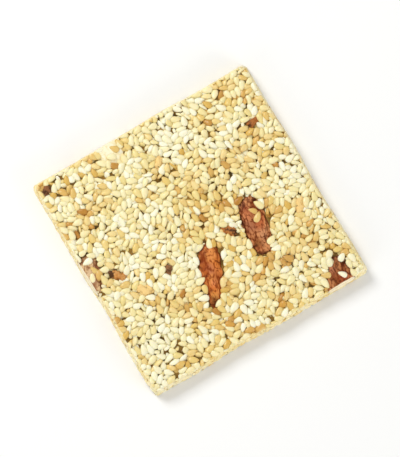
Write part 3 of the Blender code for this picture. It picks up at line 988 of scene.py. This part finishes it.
def almond_surface(rng, almond, depth, spots):
    """An almond's points, what its skin needs to know of each, by name, and its skin map.

    Two parameters: the share from the narrow end to the wide one, and the angle around. The
    section is a squarish round, scaled by the swell. Its radius falls off in broad dents and in
    creases, which lie where a random value crosses its middle, both drawn out along the nut.
    """
    length, width, height = almond.length * MM, almond.width * MM, almond.height * MM
    share, angle = ring_grid(ALMOND_ROWS, ALMOND_AROUND)
    swell = almond_swell(almond, share)
    power = 2 / ALMOND_SQUARENESS
    across = np.sign(np.cos(angle)) * np.abs(np.cos(angle)) ** power
    upward = np.sign(np.sin(angle)) * np.abs(np.sin(angle)) ** power
    local = np.empty((ALMOND_ROWS, ALMOND_AROUND, 3))
    local[..., 0] = length / 2 * np.cos(math.pi * share)
    local[..., 1] = width / 2 * swell * across
    local[..., 2] = height / 2 * swell * upward
    drawn_out = local * DRAWN_OUT
    broad = crumpled(drawn_out, rng, DENTS)
    creases = creased(drawn_out, rng, CREASES)
    fine = creased(drawn_out, rng, FINE_CREASES)
    relief = RELIEF_SHARES[0] * broad + RELIEF_SHARES[1] * creases + RELIEF_SHARES[2] * fine
    fade = np.minimum(1.0, END_FADE * np.sin(math.pi * share))
    local[..., 1:] *= (1 + fade * depth * (relief - MEAN_RELIEF))[..., None]
    local = with_ends(local, length / 2)
    # Spots of other colours: partly the skin's own blotches, partly painted highlights and painted shade.
    reaches = [
        np.exp(-((local[:, 0] / MM - x) ** 2 / 2 + (local[:, 1] / MM - y) ** 2) / reach**2)
        for x, y, reach, _ in spots
    ]
    spot = np.sum(reaches, axis=0)
    colours = np.array([linear(colour) for _, _, _, colour in spots])
    middle, axes = almond_frame(almond)
    traits = {
        "ridge": np.append(relief, (END_RELIEF, END_RELIEF)),
        "crease": np.append(np.minimum(creases, fine), (END_CREASE, END_CREASE)),
        # Where the painted rim shade falls: 0 at the top of the nut, 1 from half its height down.
        "rim": np.clip(1 - local[:, 2] / (height / 2), 0, 1),
        "spot": np.clip(spot, 0, 1),
        "tint": np.stack(reaches, axis=1) @ colours / np.maximum(spot, ALMOST_ZERO)[:, None],
    }
    return local @ axes + middle, traits, local[:, :2] / MM


def lay_skin(piece, places):
    """Gives a piece its skin map, from one place along and across for each point."""
    layer = piece.data.uv_layers.new(name="skin")
    corner = np.empty(len(piece.data.loops), dtype=np.int64)
    piece.data.loops.foreach_get("vertex_index", corner)
    layer.data.foreach_set("uv", places[corner].ravel())


def build_almonds(rng):
    """Each almond over its own solid, cut where the slice's side cuts it."""
    faces = ball_faces(ALMOND_ROWS, ALMOND_AROUND)
    for name, almond in ALMONDS.items():
        split = name == SPLIT_ALMOND
        depth = FLESH_DEPTH if split else SKIN_DEPTH
        points, traits, places = almond_surface(rng, almond, depth, SPOTS[name])
        points, cut, _ = cut_at_sides(points[None], CUT_ALMOND_PROUD)
        traits["cut"] = cut
        # From 0 at the nut's underside to 1 at its top, so the seam is at a half.
        traits["seam"] = 1 + (points[..., 2] - THICKNESS) / (almond.height * MM)
        piece = mesh_piece(name + "_nut", points, faces, name, traits)
        lay_skin(piece, places)
        piece.data.materials.append(roasted_skin("skin_of_" + name, *SKINS[name]))


def roasted_crumb():
    """Crumbs of roasted almond: broken flesh and skin, from violet brown to golden peach.

    The broken faces are dry and rough, so they are matt; the cracks and the dark tails are painted in
    shade.
    """
    material, shader = new_material("roasted_crumb")
    golden = add_node(material, "Attribute", out="Fac", attribute_name="golden")
    relief = add_node(material, "Attribute", out="Fac", attribute_name="ridge")
    place = add_node(material, "TexCoord", out="Object")
    grain = add_node(material, "TexNoise", {"Vector": place, "Scale": 1 / CRUMB_GRAIN, "Detail": 3.0})
    shift = add_node(material, "Math", {0: grain, 1: 0.3, 2: golden}, operation="MULTIPLY_ADD")
    base = add_node(
        material,
        "ValToRGB",
        {"Fac": shift},
        stops=((0.12, "#94744E"), (0.42, "#8C4820"), (0.7, "#C27C38"), (1.0, "#F4D088")),
    )
    # Painted shade in the cracks: golden crumbs get it only down in their deepest cracks.
    depth = add_node(material, "Math", {0: golden, 1: -0.3, 2: 0.5}, operation="MULTIPLY_ADD")
    crack_shade = add_node(
        material,
        "MapRange",
        {"Value": relief, "From Min": 0.08, "From Max": depth, "To Min": 0.95, "To Max": 0.0},
    )
    colour = add_node(
        material, "Mix", {0: crack_shade, 6: base, 7: linear("#46260C")}, out=2, data_type="RGBA"
    )
    bump = add_node(material, "Bump", {"Height": grain, "Strength": 0.6, "Distance": 0.12 * MM})
    rough = add_node(material, "MapRange", {"Value": grain, "To Min": 0.45, "To Max": 0.7})
    surface = {
        "Base Color": colour,
        "Roughness": rough,
        "Normal": bump,
        "IOR": 1.46,
        "Specular IOR Level": 0.25,
    }
    fill_inputs(shader, surface)
    return material


def build_crumbs(rng):
    """Crumbs of almond: balls of two parameters, dented and creased by random values."""
    share, angle = ring_grid(CRUMB_RINGS, CRUMB_AROUND)
    full = 0.5 * np.sin(math.pi * share) ** CRUMB_FULLNESS
    along = 0.5 * np.cos(math.pi * share)
    rings = np.broadcast_arrays(along, full * np.cos(angle), full * np.sin(angle))
    unit = with_ends(np.stack(rings, axis=-1), 0.5)
    bodies, ridges, goldens = [], [], []
    for x, y, length, width, heading, golden, tail in CRUMBS:
        body = unit * (length * MM, width * MM, CRUMB_HEIGHT)
        dents = crumpled(body, rng, CRUMB_DENTS)
        relief = CRUMB_SHARES[0] * dents + CRUMB_SHARES[1] * creased(body, rng, CRUMB_CREASES)
        body *= (1 - CRUMB_DEPTH * (1 - relief))[:, None] * CRUMB_GROWTH
        body = body @ turned_axes(heading) + (x * MM, y * MM, 0)
        bodies.append(body + (0, 0, HIGHEST_CROWN - body[:, 2].max()))
        # The tail's painted shadow: the relief is lowered towards that end, so the cracks' painted shade
        # darkens it.
        ridges.append(relief - tail * np.clip(-TAIL_SHADOW_FADE * unit[:, 0], 0, 1))
        goldens.append(np.full(len(unit), golden))
    attributes = {"ridge": np.concatenate(ridges), "golden": np.concatenate(goldens)}
    faces = ball_faces(CRUMB_RINGS, CRUMB_AROUND, len(CRUMBS))
    piece = mesh_piece("almond_crumbs", np.stack(bodies), faces, "sesame_slab", attributes)
    piece.data.materials.append(roasted_crumb())


def build_floor():
    """A plain pale floor."""
    corners = [(x * FLOOR_REACH, y * FLOOR_REACH, 0) for x, y in ((-1, -1), (1, -1), (1, 1), (-1, 1))]
    mesh = bpy.data.meshes.new("floor")
    mesh.from_pydata(corners, [], [(0, 1, 2, 3)])
    floor = new_object("floor", mesh)
    material, shader = new_material("matt_white_card")
    fill_inputs(shader, {"Base Color": linear("#F8F8F6"), "Roughness": 0.9})
    mesh.materials.append(material)


def build_light(name, place, size, power):
    """A square white light at a place, looking at the middle of the floor."""
    data = bpy.data.lights.new(name, "AREA")
    data.size = size
    data.energy = power
    light = new_object(name, data)
    light.location = place
    light.rotation_euler = (-Vector(place)).to_track_quat("-Z", "Y").to_euler()


def build_lights():
    """Soft light from all round, a strong one high up behind the slice, and two weaker ones."""
    world = bpy.data.worlds.new("studio")
    world.use_nodes = True
    background = world.node_tree.nodes["Background"]
    fill_inputs(background, {"Color": linear("#FFFFFF"), "Strength": SKY_STRENGTH})
    bpy.context.scene.world = world
    for name, (place, size, power) in LIGHTS.items():
        build_light(name, place, size, power)
    # A plain view keeps the colours as bright and clear as they are set.
    bpy.context.scene.view_settings.view_transform = "Standard"


def build_camera():
    """The camera, facing the slice's middle, with a lens that takes in VIEW_SPAN there."""
    data = bpy.data.cameras.new("camera")
    camera = new_object("camera", data)
    data.sensor_fit = "HORIZONTAL"
    data.lens = data.sensor_width * VIEW_DISTANCE / VIEW_SPAN
    camera.rotation_euler = (math.radians(90 - VIEW_ELEVATION), 0, math.radians(VIEW_AZIMUTH))
    back = camera.rotation_euler.to_matrix() @ Vector((0, 0, VIEW_DISTANCE))
    camera.location = Vector((0, 0, THICKNESS / 2)) + back
    bpy.context.scene.camera = camera


def main():
    """Sets the stage and builds every piece."""
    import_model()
    rng = np.random.default_rng(RANDOM_START)
    build_floor()
    build_lights()
    build_camera()
    build_sugar(rng)
    build_seeds(rng)
    build_almonds(rng)
    build_crumbs(rng)


main()
